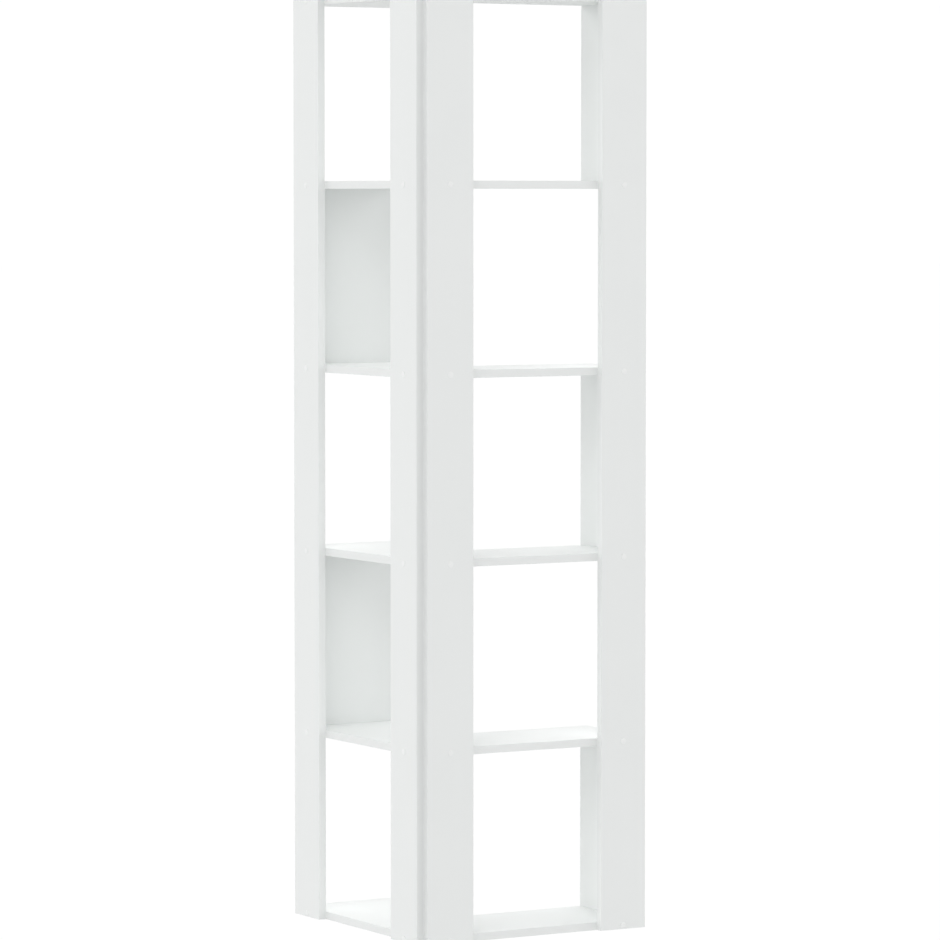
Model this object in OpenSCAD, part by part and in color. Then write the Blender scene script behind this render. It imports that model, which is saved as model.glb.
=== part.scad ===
// Corner bookcase in white melamine-faced board.
// Six L-shaped shelves are screwed to the inner faces of four flat uprights, which stand on
// the two outer sides. Each of the five compartments has one short end panel between its
// shelves, at the right end and the left end in turn. The inside of the L is open.
// X runs along the right-hand side and Y along the left-hand side, both away from the near
// corner. The floor is at z = 0, and the origin is at the middle of the box that holds it all.

/* [Overall] */
// Height of the bookcase, which is the length of each upright
height = 1800; // [1200:10:2400]
// Length of each of the two outer sides
side = 500; // [420:5:900]
// Depth of the shelf arms behind the uprights
arm_depth = 200; // [150:5:260]

/* [Boards] */
// Width of each upright
upright_w = 100; // [80:1:140]
// Thickness of each upright
upright_t = 15; // [12:0.5:22]
// Thickness of each shelf
shelf_t = 15; // [12:0.5:25]
// Thickness of each end panel
panel_t = 15; // [12:0.5:25]
// Thickness of the band glued along the edges that show
band_t = 0.5; // [0.3:0.1:1.5]

/* [Screws] */
// Length of each screw
screw_l = 50; // [35:1:56]
// Diameter of the smooth shank
shank_d = 7; // [6:0.1:8]
// Depth of the shank's end, measured from the face of the upright
shank_end = 18; // [12:0.5:24]
// Diameter of the threaded part, drawn at the root of its thread
root_d = 5; // [4:0.1:6]
// Diameter of the head
head_d = 10; // [9:0.1:12]
// Height of the head's straight rim
head_rim = 2; // [1:0.1:3]
// Hexagon socket, across its flats
socket_w = 4; // [3:0.5:5]
// Depth of the hexagon socket
socket_depth = 3.2; // [2:0.1:4]
// Room round a screw in its hole
screw_gap = 0.05; // [0.02:0.01:0.2]

/* [Cover caps] */
// Diameter of each cap
cap_d = 12; // [11:0.1:16]
// Height of each cap over the face of its upright
cap_rise = 1; // [0.6:0.1:2]
// Slope cut round the rim of each cap
cap_slope = 0.5; // [0.2:0.1:0.6]
// Length of the peg that plugs the screw's socket
peg_l = 2.5; // [1.5:0.1:3]
// Room round the peg in the socket
peg_gap = 0.1; // [0.02:0.01:0.3]

/* [Dowels] */
// Diameter of each dowel
dowel_d = 6; // [5:0.5:8]
// Length of each dowel
dowel_l = 30; // [25:1:40]
// Slope cut round both ends of a dowel
dowel_slope = 0.8; // [0.3:0.1:1.2]
// Board left over the blind end of a dowel's hole
dowel_skin = 3; // [2:0.1:4]
// Room at each end of a dowel in its hole
dowel_end_gap = 0.5; // [0.2:0.1:1]
// Room round a dowel in its hole
dowel_gap = 0.05; // [0.02:0.01:0.2]
// Distance from a screw to the dowel beside it
dowel_offset = 32; // [20:1:34]
// Distance from the edges of an end panel to its dowels
panel_dowel_in = 35; // [20:1:60]

/* [Hidden] */
$fn = 48;
// How far a cutting shape runs out of the face that it opens in
over = 1;

white = "#eef1f0";
band_white = "#e6eae8";
cap_white = "#f6f8f7";
zinc = "#b9bdc0";
beech = "#d9b98a";

// Names of the four uprights, the six shelves and the five end panels, from the floor up
posts = ["left_far", "left_corner", "right_corner", "right_far"];
shelves = ["bottom_shelf", "second_shelf", "third_shelf", "fourth_shelf", "fifth_shelf", "top_shelf"];
panels = ["bottom_end_panel", "second_end_panel", "third_end_panel", "fourth_end_panel", "top_end_panel"];

compartments = len(panels);
// Rise from one shelf to the next, and the clear height of a compartment
pitch = (height - shelf_t) / compartments;
clear_h = pitch - shelf_t;
// Outer side to the inner edge of a shelf arm
arm_end = upright_t + arm_depth;
// The caps stand proud of two sides, so the outer faces lie this far from the origin
near_face = (cap_rise - side) / 2;

function shelf_z(i) = i * pitch;
// Uprights 0 and 1 are on the left-hand side, 0 and 3 are at the far ends
function is_left(p) = p < 2;
function is_far(p) = p == 0 || p == 3;
function post_at(p) = is_far(p) ? side - upright_w : upright_t;
// The dowel lies beside the screw, on the side of the window between the two uprights
function dowel_step(p) = is_far(p) ? -dowel_offset : dowel_offset;
// The end panels change sides from one compartment to the next, with the lowest at the right
function panel_is_left(i) = i % 2 == 1;

// Outline of half a screw, from its head at 0 down its length, grown all round by gap
function screw_outline(gap, out) = [
    [0, -out],
    [head_d / 2 + gap, -out],
    [head_d / 2 + gap, head_rim],
    [shank_d / 2 + gap, head_rim + (head_d - shank_d) / 2],
    [shank_d / 2 + gap, shank_end],
    [root_d / 2 + gap, shank_end + (shank_d - root_d) / 2],
    [root_d / 2 + gap, screw_l - root_d / 2],
    [0, screw_l + gap]
];

// Moves a piece drawn from the near corner to its place
module place() { translate([near_face, near_face, 0]) children(); }

// Swaps the two sides, so what is drawn for the right-hand side lands on the left-hand one
module on_side(left) {
    if (left) mirror([1, -1, 0]) children();
    else children();
}

// Puts children where upright p crosses shelf i, with z pointing in from the outer face
module at_crossing(p, i) {
    on_side(is_left(p))
        translate([post_at(p) + upright_w / 2, 0, shelf_z(i) + shelf_t / 2])
            rotate([-90, 0, 0]) children();
}

// Puts children at all the crossings of upright p
module at_crossings(p) { for (i = [0 : compartments]) at_crossing(p, i) children(); }

// Screw, with its head flush with the face of the upright
module screw() {
    difference() {
        rotate_extrude() polygon(screw_outline(0, 0));
        translate([0, 0, -over]) cylinder(d = socket_w / cos(30), h = socket_depth + over, $fn = 6);
    }
}

// Hole for a screw
module screw_hole() { rotate_extrude() polygon(screw_outline(screw_gap, over)); }

// Cover cap: a low disc with a peg in the screw's socket
module cap() {
    rim = cap_rise - cap_slope;
    rotate_extrude() polygon([
        [0, -cap_rise],
        [cap_d / 2 - cap_slope, -cap_rise],
        [cap_d / 2, -rim],
        [cap_d / 2, 0],
        [socket_w / 2 - peg_gap, 0],
        [socket_w / 2 - peg_gap, peg_l],
        [0, peg_l]
    ]);
}

// Dowel whose near end lies in a board of which dowel_skin is left
module dowel() {
    start = dowel_skin + dowel_end_gap;
    r = dowel_d / 2;
    rotate_extrude() polygon([
        [0, start],
        [r - dowel_slope, start],
        [r, start + dowel_slope],
        [r, start + dowel_l - dowel_slope],
        [r - dowel_slope, start + dowel_l],
        [0, start + dowel_l]
    ]);
}

// Hole for a dowel, through both of the boards that it joins
module dowel_hole() {
    translate([0, 0, dowel_skin])
        cylinder(d = dowel_d + 2 * dowel_gap, h = dowel_l + 2 * dowel_end_gap);
}

// The two holes of a crossing on upright p
module crossing_holes(p) {
    screw_hole();
    translate([dowel_step(p), 0, 0]) dowel_hole();
}

// Puts children at the four dowels of end panel i, with z pointing into the panel
module at_panel_dowels(i) {
    on_side(panel_is_left(i))
        for (y = [upright_t + panel_dowel_in, arm_end - panel_dowel_in])
            translate([side - panel_t / 2, y, 0]) {
                translate([0, 0, shelf_z(i)]) children();
                translate([0, 0, shelf_z(i + 1) + shelf_t]) mirror([0, 0, 1]) children();
            }
}

// Outline of a shelf, drawn in by inset all round
module shelf_outline(inset) {
    low = upright_t + inset;
    high = side - inset;
    inner = arm_end - inset;
    polygon([[low, low], [high, low], [high, inner], [inner, inner], [inner, high], [low, high]]);
}

// Upright p: a flat board with one screw and one dowel at each shelf
module upright(p) {
    place() difference() {
        on_side(is_left(p))
            translate([post_at(p) + band_t, 0, band_t])
                cube([upright_w - 2 * band_t, upright_t, height - 2 * band_t]);
        at_crossings(p) crossing_holes(p);
    }
}

// Band round the two long edges and both ends of upright p
module upright_band(p) {
    place() on_side(is_left(p)) translate([post_at(p), 0, 0]) difference() {
        cube([upright_w, upright_t, height]);
        translate([band_t, -over, band_t])
            cube([upright_w - 2 * band_t, upright_t + 2 * over, height - 2 * band_t]);
    }
}

module screws(p) { place() at_crossings(p) screw(); }

module caps(p) { place() at_crossings(p) cap(); }

module dowels(p) { place() at_crossings(p) translate([dowel_step(p), 0, 0]) dowel(); }

// Every hole that shelf i needs: its screws and dowels, and the dowels of the panels it holds
module shelf_holes(i) {
    for (p = [0 : len(posts) - 1]) at_crossing(p, i) crossing_holes(p);
    for (e = [i - 1, i])
        if (e >= 0 && e < compartments) at_panel_dowels(e) dowel_hole();
}

// Shelf i: an L-shaped board
module shelf(i) {
    place() difference() {
        translate([0, 0, shelf_z(i)]) linear_extrude(shelf_t) shelf_outline(band_t);
        shelf_holes(i);
    }
}

// Band round all the edges of shelf i, pierced where the uprights are screwed on
module shelf_band(i) {
    place() difference() {
        translate([0, 0, shelf_z(i)]) linear_extrude(shelf_t) difference() {
            shelf_outline(0);
            shelf_outline(band_t);
        }
        shelf_holes(i);
    }
}

// End panel i: a board between shelves i and i + 1, flush with their ends
module end_panel(i) {
    place() difference() {
        on_side(panel_is_left(i))
            translate([side - panel_t, upright_t, shelf_z(i) + shelf_t])
                cube([panel_t, arm_depth - band_t, clear_h]);
        at_panel_dowels(i) dowel_hole();
    }
}

// Band on the inner edge of end panel i, the one edge that no board covers
module end_panel_band(i) {
    place() on_side(panel_is_left(i))
        translate([side - panel_t, arm_end - band_t, shelf_z(i) + shelf_t])
            cube([panel_t, band_t, clear_h]);
}

module end_panel_dowels(i) { place() at_panel_dowels(i) dowel(); }

for (p = [0 : len(posts) - 1]) {
    color(white) upright(p);
    color(band_white) upright_band(p);
    color(zinc) screws(p);
    color(cap_white) caps(p);
    color(beech) dowels(p);
}
for (i = [0 : compartments]) {
    color(white) shelf(i);
    color(band_white) shelf_band(i);
}
for (i = [0 : compartments - 1]) {
    color(white) end_panel(i);
    color(band_white) end_panel_band(i);
    color(beech) end_panel_dowels(i);
}
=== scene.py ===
# The looks of a white corner bookcase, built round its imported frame. Lengths are in metres.
import math

import bpy
import numpy as np
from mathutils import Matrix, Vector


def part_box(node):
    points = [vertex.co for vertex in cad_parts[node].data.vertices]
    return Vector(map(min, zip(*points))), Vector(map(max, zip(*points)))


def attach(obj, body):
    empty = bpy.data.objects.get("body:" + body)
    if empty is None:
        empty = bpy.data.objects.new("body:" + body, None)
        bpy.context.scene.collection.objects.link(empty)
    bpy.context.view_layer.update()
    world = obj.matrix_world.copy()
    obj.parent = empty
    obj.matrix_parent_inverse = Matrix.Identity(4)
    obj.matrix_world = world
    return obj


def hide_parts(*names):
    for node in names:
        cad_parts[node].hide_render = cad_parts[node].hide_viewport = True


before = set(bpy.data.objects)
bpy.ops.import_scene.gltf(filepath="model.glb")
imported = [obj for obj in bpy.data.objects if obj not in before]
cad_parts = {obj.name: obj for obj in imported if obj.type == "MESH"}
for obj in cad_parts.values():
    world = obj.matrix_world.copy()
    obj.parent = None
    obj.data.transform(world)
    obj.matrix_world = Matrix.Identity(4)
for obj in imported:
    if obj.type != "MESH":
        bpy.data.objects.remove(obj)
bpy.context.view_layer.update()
scene = bpy.context.scene
mm = 0.001
quarter = math.pi / 2
roundMiddle = 0.3  # where the middle point of a small slope lies, as a share of it, so that it looks round
boxes = {name: [np.array(corner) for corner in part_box(name)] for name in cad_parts}
leftPosts = ["left_far", "left_corner"]
rightPosts = ["right_far", "right_corner"]
shelves = ["bottom_shelf", "second_shelf", "third_shelf", "fourth_shelf", "fifth_shelf", "top_shelf"]
leftPanels = ["second_end_panel", "fourth_end_panel"]
rightPanels = ["bottom_end_panel", "third_end_panel", "top_end_panel"]
print("frame: %d nodes" % len(boxes))


# Helpers for nodes: a constant is set on the node's own socket, a link carries what varies

def setInputs(tree, node, values):
    for name, value in values.items():
        if isinstance(value, bpy.types.NodeSocket):
            tree.links.new(value, node.inputs[name])
        else:
            node.inputs[name].default_value = value


def addNode(tree, kind, at, values, **settings):
    node = tree.nodes.new(kind)
    node.location = at
    for name, value in settings.items():
        setattr(node, name, value)
    setInputs(tree, node, values)
    return node


def newGroup(name, inputs, output):
    tree = bpy.data.node_groups.new(name, "ShaderNodeTree")
    for label, kind in inputs.items():
        tree.interface.new_socket(label, in_out="INPUT", socket_type="NodeSocket" + kind)
    tree.interface.new_socket(output, in_out="OUTPUT", socket_type="NodeSocketFloat")
    start = addNode(tree, "NodeGroupInput", (-900, 0), {})
    end = addNode(tree, "NodeGroupOutput", (700, 0), {})
    return tree, start.outputs, end


def newMaterial(name):
    material = bpy.data.materials.new(name)
    material.use_nodes = True
    tree = material.node_tree
    tree.nodes.clear()
    shade = addNode(tree, "ShaderNodeBsdfPrincipled", (600, 0), {})
    out = addNode(tree, "ShaderNodeOutputMaterial", (900, 0), {})
    tree.links.new(shade.outputs["BSDF"], out.inputs["Surface"])
    return material, tree, shade


# Camera, light and floor

camera = {
    "place": (-4.6786, -7.9961, 1.4083),
    "turn": 30.354,  # degrees from +Y towards +X
    "down": 3.252,  # degrees below level
    "lens": 182.66,
    "sensor": 36,  # its width in millimetres, as for the lens
    "reach": 300,  # the farthest distance that it shows
}
studio = {
    "shown": 1.02,  # white of the backdrop
    "fill": 0.01,  # white light from all round
    "spread": 50,  # width of each lamp as the object sees it, in degrees
    # Where each lamp shines from, as degrees round from -Y towards +X and degrees up, and its strength
    "lamps": [(-135, 12, 0.56), (45, 12, 0.99), (-90, 30, 0.22), (90, 30, 0.65), (135, 30, 0.56),
              (180, 30, 0.78), (90, 50, 0.23), (135, 50, 0.66)],
    "mattLamps": [(-135, 12, 0.54), (-45, 12, 0.87), (-45, 50, 0.84)],  # these give no sheen
}
floor = {
    "reach": 80.0,  # half the width of each sheet
    "shownGlow": 1.0,  # of the sheet that is seen, so that no shadow dims its white
    "lightGlow": 0.74,  # of the sheet that lights the object
    "tint": (0.02, 0.02, 0.02, 1),
    "grain": 3,  # scale of its noise over the whole sheet
    "smooth": 0.85,
    "rough": 0.95,
}


def makeCamera():
    data = bpy.data.cameras.new("photoCamera")
    data.lens = camera["lens"]
    data.sensor_width = camera["sensor"]
    data.clip_end = camera["reach"]
    holder = bpy.data.objects.new("photoCamera", data)
    holder.location = camera["place"]
    holder.rotation_euler = (math.radians(90 - camera["down"]), 0, -math.radians(camera["turn"]))
    scene.collection.objects.link(holder)
    scene.camera = holder


def makeBackdrop():
    world = bpy.data.worlds.new("studio")
    world.use_nodes = True
    scene.world = world
    tree = world.node_tree
    tree.nodes.clear()
    white = (1, 1, 1, 1)
    fill = addNode(tree, "ShaderNodeBackground", (0, 0), {"Color": white, "Strength": studio["fill"]})
    shown = addNode(tree, "ShaderNodeBackground", (0, -150), {"Color": white, "Strength": studio["shown"]})
    ray = addNode(tree, "ShaderNodeLightPath", (0, 300), {})
    choice = addNode(tree, "ShaderNodeMixShader", (250, 0), {
        0: ray.outputs["Is Camera Ray"],
        1: fill.outputs["Background"],
        2: shown.outputs["Background"],
    })
    addNode(tree, "ShaderNodeOutputWorld", (450, 0), {"Surface": choice.outputs["Shader"]})


def makeLamps():
    for kind, sheen in (("lamps", True), ("mattLamps", False)):
        for around, up, strength in studio[kind]:
            lamp = bpy.data.lights.new("softLamp", "SUN")
            lamp.angle = math.radians(studio["spread"])
            lamp.energy = strength
            holder = bpy.data.objects.new("softLamp", lamp)
            holder.rotation_euler = (math.radians(90 - up), 0, math.radians(around))
            holder.visible_glossy = sheen
            scene.collection.objects.link(holder)


def makeFloorFinish(name, glow):
    material, tree, shade = newMaterial(name)
    grain = addNode(tree, "ShaderNodeTexNoise", (0, 0), {"Scale": floor["grain"], "Detail": 2})
    rough = addNode(tree, "ShaderNodeMapRange", (250, 0), {
        0: grain.outputs["Fac"], 3: floor["smooth"], 4: floor["rough"]})
    setInputs(tree, shade, {
        "Base Color": floor["tint"],
        "Roughness": rough.outputs["Result"],
        "Specular IOR Level": 0,
        "Emission Color": (1, 1, 1, 1),
        "Emission Strength": glow,
    })
    return material


def makeFloor():
    # One sheet is seen, and the other lights the object from below
    reach = floor["reach"]
    corners = [(-reach, -reach, 0), (reach, -reach, 0), (reach, reach, 0), (-reach, reach, 0)]
    for name, glow, seen in (("floor", floor["shownGlow"], True), ("floorLight", floor["lightGlow"], False)):
        mesh = bpy.data.meshes.new(name)
        mesh.from_pydata(corners, [], [(0, 1, 2, 3)])
        mesh.materials.append(makeFloorFinish(name, glow))
        sheet = bpy.data.objects.new(name, mesh)
        sheet.visible_camera = seen
        sheet.visible_diffuse = sheet.visible_glossy = sheet.visible_shadow = not seen
        scene.collection.objects.link(sheet)


scene.view_settings.view_transform = "Standard"
makeCamera()
makeBackdrop()
makeLamps()
makeFloor()
print("studio: camera, backdrop, %d lamps and floor" % len(bpy.data.lights))


# Effects that several finishes share

def makePearlGrain():
    # Fine grain, plus 0.6 of a softer one whose spots are about three times as wide
    tree, given, end = newGroup("pearlGrain", {"Vector": "Vector", "Size": "Float"}, "Height")
    perMetre = addNode(tree, "ShaderNodeMath", (-700, -150), {0: 1, 1: given["Size"]}, operation="DIVIDE")
    fine = addNode(tree, "ShaderNodeTexNoise", (-450, 150), {
        "Vector": given["Vector"], "Scale": perMetre.outputs[0], "Detail": 2, "Roughness": 0.5})
    wider = addNode(tree, "ShaderNodeMath", (-450, -150), {0: perMetre.outputs[0], 1: 0.3},
                    operation="MULTIPLY")
    soft = addNode(tree, "ShaderNodeTexNoise", (-200, -150), {
        "Vector": given["Vector"], "Scale": wider.outputs[0], "Detail": 1, "Distortion": 0.6})
    both = addNode(tree, "ShaderNodeMath", (100, 0), {0: soft.outputs["Fac"], 1: 0.6, 2: fine.outputs["Fac"]},
                   operation="MULTIPLY_ADD")
    setInputs(tree, end, {"Height": both.outputs[0]})
    return tree


def makeCloud():
    # Noise whose middle range is spread from Low to High
    tree, given, end = newGroup(
        "cloud", {"Vector": "Vector", "Size": "Float", "Low": "Float", "High": "Float"}, "Value")
    perMetre = addNode(tree, "ShaderNodeMath", (-700, -150), {0: 1, 1: given["Size"]}, operation="DIVIDE")
    noise = addNode(tree, "ShaderNodeTexNoise", (-450, 0), {
        "Vector": given["Vector"], "Scale": perMetre.outputs[0], "Detail": 4, "Roughness": 0.55})
    spread = addNode(tree, "ShaderNodeMapRange", (-150, 0), {
        "Value": noise.outputs["Fac"], "From Min": 0.3, "From Max": 0.7,
        "To Min": given["Low"], "To Max": given["High"]})
    setInputs(tree, end, {"Value": spread.outputs["Result"]})
    return tree


def makeHandMarks():
    # Smears drawn out upwards, which begin where the noise passes 0.55
    tree, given, end = newGroup("handMarks", {"Vector": "Vector", "Amount": "Float"}, "Value")
    drawn = addNode(tree, "ShaderNodeVectorMath", (-700, 100), {0: given["Vector"], 1: (9, 9, 3)},
                    operation="MULTIPLY")
    smear = addNode(tree, "ShaderNodeTexNoise", (-450, 100), {
        "Vector": drawn.outputs[0], "Scale": 1, "Detail": 5, "Roughness": 0.65, "Distortion": 1.2})
    patch = addNode(tree, "ShaderNodeMapRange", (-150, 100), {
        "Value": smear.outputs["Fac"], "From Min": 0.55, "From Max": 0.72, "To Min": 0, "To Max": 1})
    scaled = addNode(tree, "ShaderNodeMath", (150, 0), {0: patch.outputs["Result"], 1: given["Amount"]},
                     operation="MULTIPLY")
    setInputs(tree, end, {"Value": scaled.outputs[0]})
    return tree


def makeRubbedEdge():
    # The mask, broken up by a fine noise
    tree, given, end = newGroup(
        "rubbedEdge", {"Mask": "Float", "Vector": "Vector", "Amount": "Float"}, "Value")
    noise = addNode(tree, "ShaderNodeTexNoise", (-600, 0), {
        "Vector": given["Vector"], "Scale": 60, "Detail": 4, "Roughness": 0.6})
    broken = addNode(tree, "ShaderNodeMapRange", (-350, 0), {
        "Value": noise.outputs["Fac"], "From Min": 0.35, "From Max": 0.65, "To Min": 0.25, "To Max": 1})
    worn = addNode(tree, "ShaderNodeMath", (-50, 0), {0: broken.outputs["Result"], 1: given["Mask"]},
                   operation="MULTIPLY")
    scaled = addNode(tree, "ShaderNodeMath", (200, 0), {0: worn.outputs[0], 1: given["Amount"]},
                     operation="MULTIPLY")
    setInputs(tree, end, {"Value": scaled.outputs[0]})
    return tree


pearlGrain = makePearlGrain()
cloud = makeCloud()
handMarks = makeHandMarks()
rubbedEdge = makeRubbedEdge()
print("effects: pearl grain, cloud, hand marks, rubbed edge")


def place(tree, group, at, values):
    return addNode(tree, "ShaderNodeGroup", at, values, node_tree=group)


def add(tree, at, first, second):
    return addNode(tree, "ShaderNodeMath", at, {0: first, 1: second}, operation="ADD").outputs[0]


def blendColours(tree, at, share, first, second):
    return addNode(tree, "ShaderNodeMix", at, {0: share, 6: first, 7: second}, data_type="RGBA").outputs[2]


def bump(tree, at, height, strength, depth):
    node = addNode(tree, "ShaderNodeBump", at, {"Height": height, "Strength": strength, "Distance": depth})
    return node.outputs["Normal"]


def objectSpot(tree):
    return addNode(tree, "ShaderNodeTexCoord", (-900, 0), {}).outputs["Object"]


# Boards: white melamine on both faces of a chipboard core, which shows only in holes and under bands

melamine = {
    "light": (0.895, 0.912, 0.904, 1),
    "dark": (0.881, 0.899, 0.891, 1),
    "tonePatch": 0.25,
    "grain": 0.9 * mm,
    "grainDepth": 0.03 * mm,
    "grainStrength": 0.4,
    "smooth": 0.36,
    "rough": 0.43,
    "glossPatch": 0.06,
    "handMarks": 0.05,
    "squareness": 0.9,  # cosine past which a surface counts as one of the board's two faces
    "chipLight": (0.52, 0.37, 0.22, 1),
    "chipDark": (0.25, 0.15, 0.08, 1),
    "chip": 1.6 * mm,
}


def makeBoardFinish(name, faceAxis):
    # The core shows wherever the surface doesn't look along faceAxis
    material, tree, shade = newMaterial(name)
    spot = objectSpot(tree)
    tone = place(tree, cloud, (-600, 300), {
        "Vector": spot, "Size": melamine["tonePatch"], "Low": 0, "High": 1})
    white = blendColours(tree, (-300, 300), tone.outputs[0], melamine["dark"], melamine["light"])
    chips = addNode(tree, "ShaderNodeTexVoronoi", (-600, 600), {
        "Vector": spot, "Scale": 1 / melamine["chip"]})
    core = blendColours(
        tree, (-300, 600), chips.outputs["Distance"], melamine["chipLight"], melamine["chipDark"])
    look = addNode(tree, "ShaderNodeNewGeometry", (-900, 900), {}).outputs["True Normal"]
    along = addNode(tree, "ShaderNodeVectorMath", (-600, 900), {0: look, 1: faceAxis},
                    operation="DOT_PRODUCT")
    size = addNode(tree, "ShaderNodeMath", (-300, 900), {0: along.outputs["Value"]}, operation="ABSOLUTE")
    onFace = addNode(tree, "ShaderNodeMath", (0, 900), {0: size.outputs[0], 1: melamine["squareness"]},
                     operation="GREATER_THAN")
    colour = blendColours(tree, (200, 500), onFace.outputs[0], core, white)
    base = place(tree, cloud, (-600, 0), {
        "Vector": spot, "Size": melamine["glossPatch"], "Low": melamine["smooth"], "High": melamine["rough"]})
    marks = place(tree, handMarks, (-600, -250), {"Vector": spot, "Amount": melamine["handMarks"]})
    gloss = add(tree, (-300, 0), base.outputs[0], marks.outputs[0])
    grain = place(tree, pearlGrain, (-600, -500), {"Vector": spot, "Size": melamine["grain"]})
    setInputs(tree, shade, {
        "Base Color": colour,
        "Roughness": gloss,
        "Normal": bump(
            tree, (200, -500), grain.outputs[0], melamine["grainStrength"], melamine["grainDepth"]),
    })
    return material


def finishBoards():
    faces = {"X": (1, 0, 0), "Y": (0, 1, 0), "Z": (0, 0, 1)}
    finish = {axis: makeBoardFinish("melamineAcross" + axis, look) for axis, look in faces.items()}
    across = {name: "Z" for name in shelves}
    across.update({name + "_upright": "X" for name in leftPosts})
    across.update({name + "_upright": "Y" for name in rightPosts})
    across.update({name: "Y" for name in leftPanels})
    across.update({name: "X" for name in rightPanels})
    for name, axis in across.items():
        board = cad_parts[name]
        board.data.materials.clear()
        board.data.materials.append(finish[axis])
    return len(across)


print("boards: %d finished" % finishBoards())


# New pieces take their finish, body and the node that they stand for here

sharpAngle = 35  # degrees past which an edge between two faces stays sharp


def camelName(node):
    first, *rest = node.split("_")
    return first + "".join(word.capitalize() for word in rest)


def addPiece(node, points, faces, material, marks, normals=None):
    mesh = bpy.data.meshes.new(camelName(node))
    mesh.from_pydata(points, [], faces, shade_flat=False)
    mesh.update()
    if normals is None:
        mesh.set_sharp_from_angle(angle=math.radians(sharpAngle))
    else:
        mesh.normals_split_custom_set(normals)
    for name, values in marks.items():
        kind, field = ("FLOAT_VECTOR", "vector") if values.ndim == 2 else ("FLOAT", "value")
        mark = mesh.attributes.new(name, kind, "POINT")
        mark.data.foreach_set(field, values.astype(np.float32).ravel())
    mesh.materials.append(material)
    piece = bpy.data.objects.new(camelName(node), mesh)
    scene.collection.objects.link(piece)
    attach(piece, "root")
    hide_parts(node)


def readMark(tree, at, name):
    return addNode(tree, "ShaderNodeAttribute", at, {}, attribute_name=name)


# Turned pieces: a table of radii and depths, one row per ring and one column per direction

copyStep = 0.137  # shift of the pattern from one copy to the next, so that they differ


def turn(radius, depth, origins, frames):
    # A point is origin + frame (radius cos a, radius sin a, depth), and each end closes in one point
    rows, columns = radius.shape
    a = np.arange(columns) * 2 * math.pi / columns
    ring = np.stack([radius * np.cos(a), radius * np.sin(a), np.broadcast_to(depth, radius.shape)], -1)
    ends = [[[0, 0, depth[0].mean()]], [[0, 0, depth[-1].mean()]]]
    local = np.concatenate([ring.reshape(-1, 3)] + [np.array(end) for end in ends])
    index = np.arange(rows * columns).reshape(rows, columns)
    nextOne = np.roll(index, -1, 1)
    quads = np.stack([index[:-1], nextOne[:-1], nextOne[1:], index[1:]], -1).reshape(-1, 4)
    top = np.stack([np.full(columns, rows * columns), nextOne[0], index[0]], -1)
    tip = np.stack([index[-1], nextOne[-1], np.full(columns, rows * columns + 1)], -1)
    points, faces, marks = [], [], []
    for copy, (origin, axes) in enumerate(zip(origins, frames)):
        points.append(np.array(origin) + local @ np.array(axes))
        shift = copy * len(local)
        faces += (quads + shift).tolist() + (top + shift).tolist() + (tip + shift).tolist()
        marks.append(local + [0, 0, copy * copyStep])
    return np.concatenate(points), faces, {"turned": np.concatenate(marks)}


# Rows of each frame are where the piece's own x, y and its way into the board point
intoY = ((1, 0, 0), (0, 0, -1), (0, 1, 0))
intoX = ((0, 1, 0), (0, 0, 1), (1, 0, 0))
upward = ((1, 0, 0), (0, 1, 0), (0, 0, 1))
downward = ((1, 0, 0), (0, -1, 0), (0, 0, -1))


def crossings(post, kind):
    # The middle of each screw or dowel of an upright, on the upright's outer face
    low, high = boxes[post + kind]
    face = boxes[post + "_upright"][0]
    heights = [sum(corner[2] for corner in boxes[shelf]) / 2 for shelf in shelves]
    if post in leftPosts:
        return [(face[0], (low[1] + high[1]) / 2, z) for z in heights], [intoX] * len(heights)
    return [((low[0] + high[0]) / 2, face[1], z) for z in heights], [intoY] * len(heights)


# Cover caps: low moulded domes with a peg in the screw's socket

cap = {
    "rise": 1.0 * mm,
    "sag": 0.12 * mm,  # fall of the crown from its middle
    "edge": 0.55 * mm,  # width of the rounded shoulder
    "rim": 0.2 * mm,  # height of the straight rim
    "peg": 1.9 * mm,  # radius
    "pegLength": 2.5 * mm,
    "pegSlope": 0.3 * mm,
    "crownRings": 5,
    "shoulderRings": 6,
    "columns": 48,
    "light": (0.935, 0.948, 0.941, 1),
    "dark": (0.925, 0.938, 0.931, 1),
    "tonePatch": 0.01,
    "smooth": 0.26,
    "rough": 0.36,
    "glossPatch": 4 * mm,
    "grain": 0.25 * mm,
    "grainDepth": 0.01 * mm,
    "grainStrength": 0.2,
}


def makeCapFinish():
    material, tree, shade = newMaterial("mouldedCap")
    spot = objectSpot(tree)
    tone = place(tree, cloud, (-600, 300), {"Vector": spot, "Size": cap["tonePatch"], "Low": 0, "High": 1})
    gloss = place(tree, cloud, (-600, 0), {
        "Vector": spot, "Size": cap["glossPatch"], "Low": cap["smooth"], "High": cap["rough"]})
    grain = place(tree, pearlGrain, (-600, -300), {"Vector": spot, "Size": cap["grain"]})
    setInputs(tree, shade, {
        "Base Color": blendColours(tree, (-300, 300), tone.outputs[0], cap["dark"], cap["light"]),
        "Roughness": gloss.outputs[0],
        "Normal": bump(tree, (200, -300), grain.outputs[0], cap["grainStrength"], cap["grainDepth"]),
    })
    return material


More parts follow.
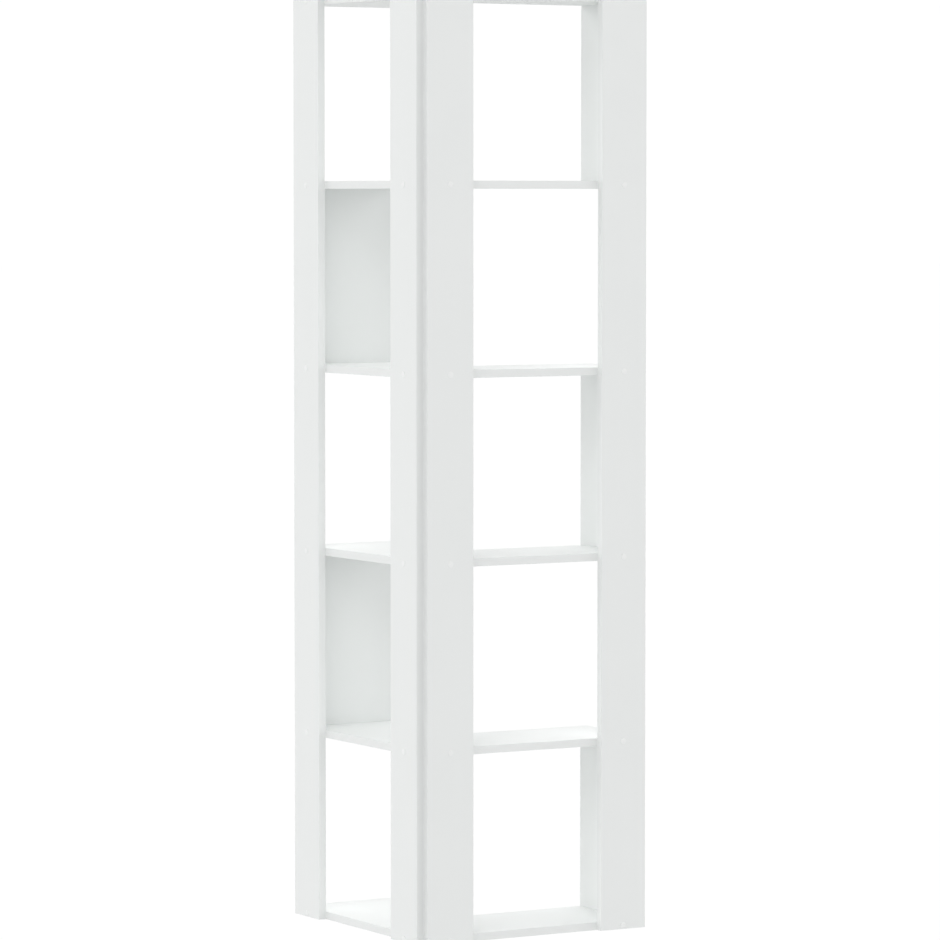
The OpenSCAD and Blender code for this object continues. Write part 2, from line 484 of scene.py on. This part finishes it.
def makeCaps():
    # The crown falls by sag (r / R) squared, then a quarter ellipse turns down to the straight rim
    finish = makeCapFinish()
    low, high = boxes["right_far_caps"]
    radius = (high[0] - low[0]) / 2
    crownR = radius - cap["edge"]
    crown = np.linspace(1 / cap["crownRings"], 1, cap["crownRings"])
    a = np.linspace(0, quarter, cap["shoulderRings"] + 1)[1:]
    shoulder = cap["rise"] - cap["sag"] - cap["rim"]
    r = np.concatenate([crownR * crown, crownR + cap["edge"] * np.sin(a), [
        radius, cap["peg"], cap["peg"], cap["peg"] - cap["pegSlope"]]])
    z = np.concatenate([cap["sag"] * crown ** 2 - cap["rise"], -cap["rim"] - shoulder * np.cos(a), [
        0, 0, cap["pegLength"] - cap["pegSlope"], cap["pegLength"]]])
    table = np.repeat(r[:, None], cap["columns"], 1)
    for post in leftPosts + rightPosts:
        origins, frames = crossings(post, "_caps")
        points, faces, marks = turn(table, z[:, None], origins, frames)
        addPiece(post + "_caps", points, faces, finish, marks)


makeCaps()
print("caps: turned on four uprights")


# Screws: zinc-plated, with a hexagon socket, a smooth shank and a cut thread

screw = {
    "length": 50 * mm,
    "head": 5 * mm,  # radius
    "headRim": 2 * mm,
    "headEdge": 0.25 * mm,
    "socket": 2 * mm,  # half its width across the flats
    "socketFloor": 0.999,  # width of its floor as a share of its mouth's
    "socketDepth": 3.2 * mm,
    "socketSlope": 0.25 * mm,
    "shank": 7 * mm,  # diameter
    "shankEnd": 18 * mm,
    "root": 2.5 * mm,  # radius, as is the crest
    "crest": 3.4 * mm,
    "pitch": 3 * mm,
    "ridge": 2.2,  # height of the thread's wave before it is cut off at 1
    "flank": 7,  # how fast that wave falls, in heights per pitch
    "tip": 6 * mm,  # length over which the screw grows thinner
    "tipShare": 0.35,  # least share of that length, before its square root shapes the tip
    "tipEnd": 0.8 * mm,  # radius of its last ring
    "tipFlat": 0.3 * mm,  # cut off the very end
    "room": 0.05 * mm,  # round it in its hole
    "columns": 18,
    "light": (0.66, 0.67, 0.68, 1),
    "dark": (0.54, 0.55, 0.57, 1),
    "tonePatch": 5 * mm,
    "smooth": 0.24,
    "rough": 0.4,
    "glossPatch": 1.5 * mm,
    "latheScale": 900,
    "latheDepth": 0.01 * mm,
    "latheStrength": 0.15,
}


def makeScrewFinish():
    material, tree, shade = newMaterial("zincPlate")
    spot = readMark(tree, (-900, 0), "turned").outputs["Vector"]
    tone = place(tree, cloud, (-600, 300), {"Vector": spot, "Size": screw["tonePatch"], "Low": 0, "High": 1})
    gloss = place(tree, cloud, (-600, 0), {
        "Vector": spot, "Size": screw["glossPatch"], "Low": screw["smooth"], "High": screw["rough"]})
    lathe = addNode(tree, "ShaderNodeTexWave", (-600, -300), {
        "Vector": spot, "Scale": screw["latheScale"], "Distortion": 1.5}, bands_direction="Z")
    setInputs(tree, shade, {
        "Base Color": blendColours(tree, (-300, 300), tone.outputs[0], screw["dark"], screw["light"]),
        "Metallic": 1,
        "Roughness": gloss.outputs[0],
        "Normal": bump(tree, (200, -300), lathe.outputs["Fac"], screw["latheStrength"], screw["latheDepth"]),
    })
    return material


def makeScrews():
    # The thread's rows are a pitch / columns apart, so one helix lies on the diagonals of the table:
    # its height is a trapezium wave of (depth / pitch - angle / full turn), faded in and out. Towards the
    # tip the root narrows with the square root of what is left of the length.
    finish = makeScrewFinish()
    columns = screw["columns"]
    a = np.arange(columns) * 2 * math.pi / columns
    half = math.pi / 6
    hexagon = screw["socket"] / np.cos((a + half) % (2 * half) - half)
    head, edge, shank = screw["head"], screw["headEdge"], screw["shank"] / 2
    cone = screw["headRim"] + head - shank
    plain = [(head - edge, 0), (head - edge * roundMiddle, edge * roundMiddle), (head, edge),
             (head, screw["headRim"]), (shank, cone), (shank, screw["shankEnd"])]
    start = screw["shankEnd"] + shank - screw["root"]
    rows = np.arange(start, screw["length"] - screw["root"] / 2, screw["pitch"] / columns)
    phase = (rows[:, None] / screw["pitch"] - a / (2 * math.pi)) % 1
    ridge = np.clip(screw["ridge"] - abs(phase - 0.5) * screw["flank"], 0, 1)
    fade = np.clip((rows - start) / screw["pitch"], 0, 1) * np.clip((rows[-1] - rows) / screw["tip"], 0, 1)
    body = np.clip((screw["length"] - rows) / screw["tip"], screw["tipShare"], 1) ** 0.5 * screw["root"]
    thread = body[:, None] + (screw["crest"] - screw["root"]) * ridge * fade[:, None]
    radius = np.concatenate([
        [hexagon * screw["socketFloor"], hexagon, hexagon + screw["socketSlope"]],
        np.repeat(np.array(plain)[:, :1], columns, 1), thread, [np.full(columns, screw["tipEnd"])]])
    depth = np.concatenate([
        [screw["socketDepth"], screw["socketSlope"], 0], np.array(plain)[:, 1], rows,
        [screw["length"] - screw["tipFlat"]]])
    for post in leftPosts + rightPosts:
        origins, frames = crossings(post, "_screws")
        points, faces, marks = turn(radius, depth[:, None], origins, frames)
        addPiece(post + "_screws", points, faces, finish, marks)


makeScrews()
print("screws: turned, with sockets and threads")


# Dowels: fluted beech pins with sloped ends

dowel = {
    "slope": 0.8 * mm,
    "flutes": 12,
    "fluteDepth": 0.25 * mm,
    "light": (0.70, 0.50, 0.31, 1),
    "dark": (0.50, 0.32, 0.17, 1),
    "grainScale": 1600,
    "fleckScale": 5200,
    "drawnOut": 0.06,  # scale of the grain along the dowel
    "grainDepth": 0.05 * mm,
    "grainStrength": 0.3,
    "smooth": 0.55,
    "rough": 0.7,
    "glossPatch": 3 * mm,
}
firstLow, firstHigh = boxes["right_far_dowels"]
dowelRadius = (firstHigh[0] - firstLow[0]) / 2
dowelLength = firstHigh[1] - firstLow[1]
dowelStart = firstLow[1] - boxes["right_far_upright"][0][1]


def makeDowelFinish():
    material, tree, shade = newMaterial("beechPin")
    spot = readMark(tree, (-1100, 0), "turned").outputs["Vector"]
    drawn = addNode(tree, "ShaderNodeMapping", (-850, 0), {
        "Vector": spot, "Scale": (1, 1, dowel["drawnOut"])})
    grain = addNode(tree, "ShaderNodeTexNoise", (-600, 300), {
        "Vector": drawn.outputs["Vector"], "Scale": dowel["grainScale"], "Detail": 4, "Distortion": 0.4})
    flecks = addNode(tree, "ShaderNodeTexNoise", (-600, 0), {
        "Vector": drawn.outputs["Vector"], "Scale": dowel["fleckScale"], "Detail": 1})
    both = add(tree, (-350, 150), grain.outputs["Fac"], flecks.outputs["Fac"])
    share = addNode(tree, "ShaderNodeMapRange", (-150, 150), {
        "Value": both, "From Min": 0.7, "From Max": 1.3})  # the two noises add up to about 1
    rough = place(tree, cloud, (-600, -300), {
        "Vector": spot, "Size": dowel["glossPatch"], "Low": dowel["smooth"], "High": dowel["rough"]})
    setInputs(tree, shade, {
        "Base Color": blendColours(tree, (100, 150), share.outputs["Result"], dowel["dark"], dowel["light"]),
        "Roughness": rough.outputs[0],
        "Normal": bump(tree, (200, -300), both, dowel["grainStrength"], dowel["grainDepth"]),
    })
    return material


def dowelTable():
    # The radius dips by fluteDepth cos(flutes a) to the fourth power, along the straight part only
    a = np.arange(4 * dowel["flutes"]) * quarter / dowel["flutes"]
    groove = dowel["fluteDepth"] * np.cos(dowel["flutes"] * a).clip(0) ** 4
    slope = dowel["slope"]
    middle = slope * roundMiddle
    inset = np.array([slope, middle, 0, 0, middle, slope])
    depth = np.array([0, middle, slope, dowelLength - slope, dowelLength - middle, dowelLength])
    fluted = np.array([0, 0.5, 1, 1, 0.5, 0])
    return dowelRadius - inset[:, None] - fluted[:, None] * groove, depth[:, None]


def makeDowels():
    finish = makeDowelFinish()
    radius, depth = dowelTable()
    for post in leftPosts + rightPosts:
        origins, frames = crossings(post, "_dowels")
        points, faces, marks = turn(radius, depth + dowelStart, origins, frames)
        addPiece(post + "_dowels", points, faces, finish, marks)
    for panel in leftPanels + rightPanels:
        low, high = boxes[panel + "_dowels"]
        run, across = (0, 1) if panel in leftPanels else (1, 0)
        origins, frames = [], []
        for spot in (low[run] + dowelRadius, high[run] - dowelRadius):
            for z, way in ((low[2], upward), (high[2], downward)):
                origin = np.zeros(3)
                origin[run], origin[across], origin[2] = spot, (low[across] + high[across]) / 2, z
                origins.append(origin)
                frames.append(way)
        points, faces, marks = turn(radius, depth, origins, frames)
        addPiece(panel + "_dowels", points, faces, finish, marks)


makeDowels()
print("dowels: turned and fluted")


# Edge bands: a 0.5 mm white tape whose two outer arrises are scraped round

band = {
    "arris": 0.2 * mm,
    "innerArris": 0.01 * mm,  # of the uprights, on the side of the shelves
    "arrisSteps": 5,
    "cornerRoom": 0.02 * mm,  # corner radius beyond the tape's own thickness
    "cornerSteps": 6,
    "stretch": 50 * mm,  # longest piece of a straight stretch
    "holeSteps": 12,  # points on half a hole's rim
    "holeRim": 1 * mm,  # tape on both sides of a hole that belongs to its patch of faces
    "light": (0.884, 0.901, 0.893, 1),
    "dark": (0.868, 0.885, 0.877, 1),
    "rubbed": (0.90, 0.915, 0.908, 1),
    "wear": 0.3,
    # Painted shade: the uprights' tape is darkened towards the shelves, where shade falls between the parts
    "dusty": (0.822, 0.838, 0.831, 1),  # of the uprights, towards the shelves
    "shadePatch": 0.03,
    "shadeLeast": 0.75,  # its least share of the full painted shade
    "tonePatch": 0.18,
    "smooth": 0.30,
    "rough": 0.38,
    "glossPatch": 0.04,
    "handMarks": 0.05,
    "grain": 0.7 * mm,
    "grainDepth": 0.02 * mm,
    "grainStrength": 0.3,
}


def makeBandFinish():
    material, tree, shade = newMaterial("edgeTape")
    spot = objectSpot(tree)
    tone = place(tree, cloud, (-600, 300), {"Vector": spot, "Size": band["tonePatch"], "Low": 0, "High": 1})
    white = blendColours(tree, (-300, 300), tone.outputs[0], band["dark"], band["light"])
    arris = readMark(tree, (-900, 600), "arris").outputs["Fac"]
    wear = place(tree, rubbedEdge, (-600, 600), {"Mask": arris, "Vector": spot, "Amount": band["wear"]})
    rubbed = blendColours(tree, (0, 400), wear.outputs[0], white, band["rubbed"])
    # Painted shade on the uprights' tape, darker towards the shelves and broken into patches
    shadeRamp = readMark(tree, (-900, 900), "dust").outputs["Fac"]
    patches = place(tree, cloud, (-600, 900), {
        "Vector": spot, "Size": band["shadePatch"], "Low": band["shadeLeast"], "High": 1})
    dust = addNode(tree, "ShaderNodeMath", (-300, 900), {0: shadeRamp, 1: patches.outputs[0]},
                   operation="MULTIPLY")
    colour = blendColours(tree, (250, 500), dust.outputs[0], rubbed, band["dusty"])
    base = place(tree, cloud, (-600, 0), {
        "Vector": spot, "Size": band["glossPatch"], "Low": band["smooth"], "High": band["rough"]})
    marks = place(tree, handMarks, (-600, -250), {"Vector": spot, "Amount": band["handMarks"]})
    grain = place(tree, pearlGrain, (-600, -500), {"Vector": spot, "Size": band["grain"]})
    setInputs(tree, shade, {
        "Base Color": colour,
        "Roughness": add(tree, (-300, 0), base.outputs[0], marks.outputs[0]),
        "Normal": bump(tree, (200, -500), grain.outputs[0], band["grainStrength"], band["grainDepth"]),
    })
    return material


# A line holds its points, their outward directions, its holes as (first point, radius), and if it is closed

def stripLine(first, last):
    # Evenly spaced points from first to last, with the outward side to the right of that way
    length = math.dist(first, last)
    ahead = (last - first) / length
    share = np.linspace(0, 1, math.ceil(length / band["stretch"]) + 1)[:, None]
    return first + share * (last - first), np.repeat([[ahead[1], -ahead[0]]], len(share), 0), [], False


def loopLine(corners, bend, holes):
    # A corner is a quarter circle of radius bend, on which the outward direction turns as before cos a +
    # after sin a. A straight stretch gets evenly spaced points, and round each hole the points that its
    # rim needs. Holes are given for each stretch, as the way to their middle and their radius.
    along = np.roll(corners, -1, 0) - corners
    lengths = np.linalg.norm(along, axis=1)
    along = along / lengths[:, None]
    outward = np.stack([along[:, 1], -along[:, 0]], 1)
    angles = np.linspace(0, quarter, band["cornerSteps"] + 1)[:, None]
    room = band["holeRim"]
    spots, looks, found, total = [], [], [], 0
    for k, corner in enumerate(corners):
        before, after = outward[k - 1], outward[k]
        side = np.sign(along[k - 1, 0] * along[k, 1] - along[k - 1, 1] * along[k, 0])
        turning = np.cos(angles) * before + np.sin(angles) * after
        centre = corner - side * bend * (before + after)
        reach = lengths[k] - bend
        steps = np.linspace(bend, reach, math.ceil((reach - bend) / band["stretch"]) + 1)[1:-1]
        for middle, radius in holes.get(k, []):
            half = radius + room
            rim = middle - half * np.cos(np.linspace(0, math.pi, band["holeSteps"] + 1))
            steps = np.concatenate([steps[abs(steps - middle) > half + room], rim])
        steps = np.sort(steps)
        total += len(turning)
        found += [(total + np.searchsorted(steps, middle - (radius + room)), radius)
                  for middle, radius in holes.get(k, [])]
        total += len(steps)
        spots += [centre + side * bend * turning, corner + steps[:, None] * along[k]]
        looks += [turning, np.repeat(after[None], len(steps), 0)]
    return np.concatenate(spots), np.concatenate(looks), found, True


def tapeProfile(low, high, thick, radii, dusty):
    # Across the tape: inset from the outer face, height, and the surface's direction as (out, up). Each
    # arris is a quarter circle, and the last stretch, back to the first point, is the glued face. Painted
    # shade rises evenly from none at low to the given share at high, which on the uprights is the side of the
    # shelves.
    a = np.linspace(0, quarter, band["arrisSteps"] + 1)
    first, second = radii
    inset = np.concatenate([[thick], first - first * np.sin(a), second - second * np.cos(a), [thick]])
    height = np.concatenate([
        [low], low + first - first * np.cos(a), high - second + second * np.sin(a), [high]])
    out = np.concatenate([[0], np.sin(a), np.cos(a), [0]])
    up = np.concatenate([[-1], -np.cos(a), np.sin(a), [1]])
    return inset, height, out, up, dusty * (height - low) / (high - low)


def quadsBetween(first, second):
    # Faces between two rows of equal length, each given as point numbers
    return np.stack([first[:-1], first[1:], second[1:], second[:-1]], -1)


def tapeSkin(index, lean, back, closed):
    # Faces between neighbouring rings, with the surface's direction at their corners. index and lean are
    # tables of ring by profile point, and back is the direction of the glued face at each ring.
    if closed:
        index, lean, back = [np.concatenate([table, table[:1]]) for table in (index, lean, back)]
    index = np.concatenate([index, index[:, :1]], 1)
    faces = np.stack([index[:-1, :-1], index[1:, :-1], index[1:, 1:], index[:-1, 1:]], -1)
    after = np.roll(lean, -1, 1)
    looks = np.stack([lean[:-1], lean[1:], after[1:], after[:-1]], 2)
    looks[:, -1] = np.stack([back[:-1], back[1:], back[1:], back[:-1]], 1)
    return faces, looks


def pierce(points, index, cell, radius, first, look):
    # A hole through one stretch of the tape: on each face a ring centre + radius (ahead cos t + up sin t),
    # with faces out to the edges of the stretch and through to the other ring
    n = band["holeSteps"]
    outer = band["arrisSteps"] + 1
    up = np.array([0, 0, 1])
    t = math.pi + np.arange(2 * n)[:, None] * math.pi / n
    rims, made, parts = [], [], []
    # The profile's rows below and above the outer face, and then the glued one
    for lowRow, highRow, facing in ((outer, outer + 1, 1), (0, index.shape[1] - 1, -1)):
        below, above = index[cell, lowRow], index[cell, highRow]
        centre = (points[below[0]] + points[above[-1]]) / 2
        ahead = points[below[-1]] - points[below[0]]
        around = np.cos(t) * ahead / np.linalg.norm(ahead) + np.sin(t) * up
        rim = first + len(rims) * 2 * n + np.arange(2 * n)
        lower, upper = rim[:n + 1], np.concatenate([rim[:1], rim[n:][::-1]])
        quads = np.concatenate([quadsBetween(below, lower), quadsBetween(upper, above)])
        sides = np.array([[below[0], rim[0], above[0]], [below[-1], above[-1], rim[n]]])
        parts += [(quads[:, ::facing], facing * look), (sides[:, ::facing], facing * look)]
        made.append(centre + radius * around)
        rims.append(np.append(rim, rim[0]))
    inward = -np.concatenate([around, around[:1]])
    walls = np.stack([inward[:-1], inward[1:], inward[1:], inward[:-1]], 1)
    return np.concatenate(made), parts + [(quadsBetween(*rims), walls)]


def joinParts(parts, flip):
    # Each part is an array of faces and the surface's direction at their corners, or one for all of them
    faces, normals = [], []
    for part, looks in parts:
        looks = np.broadcast_to(looks, part.shape + (3,))
        faces += (part[:, ::-1] if flip else part).tolist()
        normals.append((looks[:, ::-1] if flip else looks).reshape(-1, 3))
    return faces, np.concatenate(normals)


def sweepBand(node, axes, line, profile, material):
    # Carries the profile along the line: a point is the line's spot less inset times its outward direction,
    # at the profile's height. There the surface looks along out times that direction plus up along the
    # height. axes says which of x, y and z the line's two directions and the height run along.
    spots, looks, holes, closed = line
    inset, height, out, up, dust = profile
    rings, around = len(spots), len(inset)
    points = np.zeros((rings, around, 3))
    points[:, :, :2] = spots[:, None] - looks[:, None] * inset[:, None]
    points[:, :, 2] = height
    points = points.reshape(-1, 3)
    lean = np.zeros((rings, around, 3))
    lean[:, :, :2] = looks[:, None] * out[:, None]
    lean[:, :, 2] = up
    looks = np.append(looks, np.zeros((rings, 1)), 1)
    index = np.arange(rings * around).reshape(rings, around)
    faces, normals = tapeSkin(index, lean, -looks, closed)
    kept = np.ones(faces.shape[:2], bool)
    parts, made, total = [], [points], len(points)
    for start, radius in holes:
        cell = np.arange(start, start + band["holeSteps"] + 1)
        kept[cell[:-1], band["arrisSteps"] + 1] = kept[cell[:-1], -1] = False
        rims, patches = pierce(points, index, cell, radius, total, looks[start])
        total += len(rims)
        made.append(rims)
        parts += patches
    parts.append((faces[kept], normals[kept]))
    if not closed:
        ahead = np.array([-looks[0, 1], looks[0, 0], 0])
        parts += [(index[:1], -ahead), (index[-1:, ::-1], ahead)]
    # On an arris out and up are sin a and cos a, so its mark is sin 2a, which is 0 where the arris ends
    marks = {"arris": np.zeros(total), "dust": np.zeros(total)}
    marks["arris"][:len(points)] = np.tile(np.clip(2 * abs(out * up), 0, 1), rings)
    # The share of painted shade at each point, from the profile
    marks["dust"][:len(points)] = np.tile(dust, rings)
    # From the line's directions and the height to x, y and z, which turns the faces over if it mirrors
    order = np.argsort(axes)
    faces, normals = joinParts(parts, np.linalg.det(np.eye(3)[list(axes)]) < 0)
    points = np.concatenate(made)[:, order]
    addPiece(node, points, faces, material, marks, normals[:, order])


def shelfHoles(near, far):
    # Holes in a shelf's band: on its first stretch for the right-hand uprights, on its last for the others
    holes = {}
    for stretch, along, posts in ((0, 0, rightPosts), (5, 1, leftPosts)):
        holes[stretch] = []
        for post in posts:
            for kind, radius in (("_screws", screw["shank"] / 2), ("_dowels", dowelRadius)):
                middle = sum(corner[along] for corner in boxes[post + kind]) / 2
                way = middle - near if stretch == 0 else far - middle
                holes[stretch].append((way, radius + screw["room"]))
    return holes


def makeBands():
    finish = makeBandFinish()
    thick = boxes["left_far_upright"][0][2] - boxes["left_far_upright_band"][0][2]
    bend = thick + band["cornerRoom"]
    both = (band["arris"], band["arris"])
    for post in leftPosts + rightPosts:
        node = post + "_upright_band"
        low, high = boxes[node]
        u, w = (1, 0) if post in leftPosts else (0, 1)
        corners = [(low[u], low[2]), (high[u], low[2]), (high[u], high[2]), (low[u], high[2])]
        profile = tapeProfile(low[w], high[w], thick, (band["arris"], band["innerArris"]), 1)
        sweepBand(node, (u, 2, w), loopLine(np.array(corners), bend, {}), profile, finish)
    arm = boxes["bottom_end_panel_band"][1][1]
    for shelf in shelves:
        node = shelf + "_band"
        low, high = boxes[node]
        near, far = low[0], high[0]
        corners = [(near, near), (far, near), (far, arm), (arm, arm), (arm, far), (near, far)]
        line = loopLine(np.array(corners), bend, shelfHoles(near, far))
        sweepBand(node, (0, 1, 2), line, tapeProfile(low[2], high[2], thick, both, 0), finish)
    for panel in leftPanels + rightPanels:
        node = panel + "_band"
        low, high = boxes[node]
        u, w = (0, 1) if panel in leftPanels else (1, 0)
        line = stripLine(np.array((high[u], low[2])), np.array((high[u], high[2])))
        sweepBand(node, (u, 2, w), line, tapeProfile(low[w], high[w], thick, both, 0), finish)


makeBands()
print("bands: 15 swept")
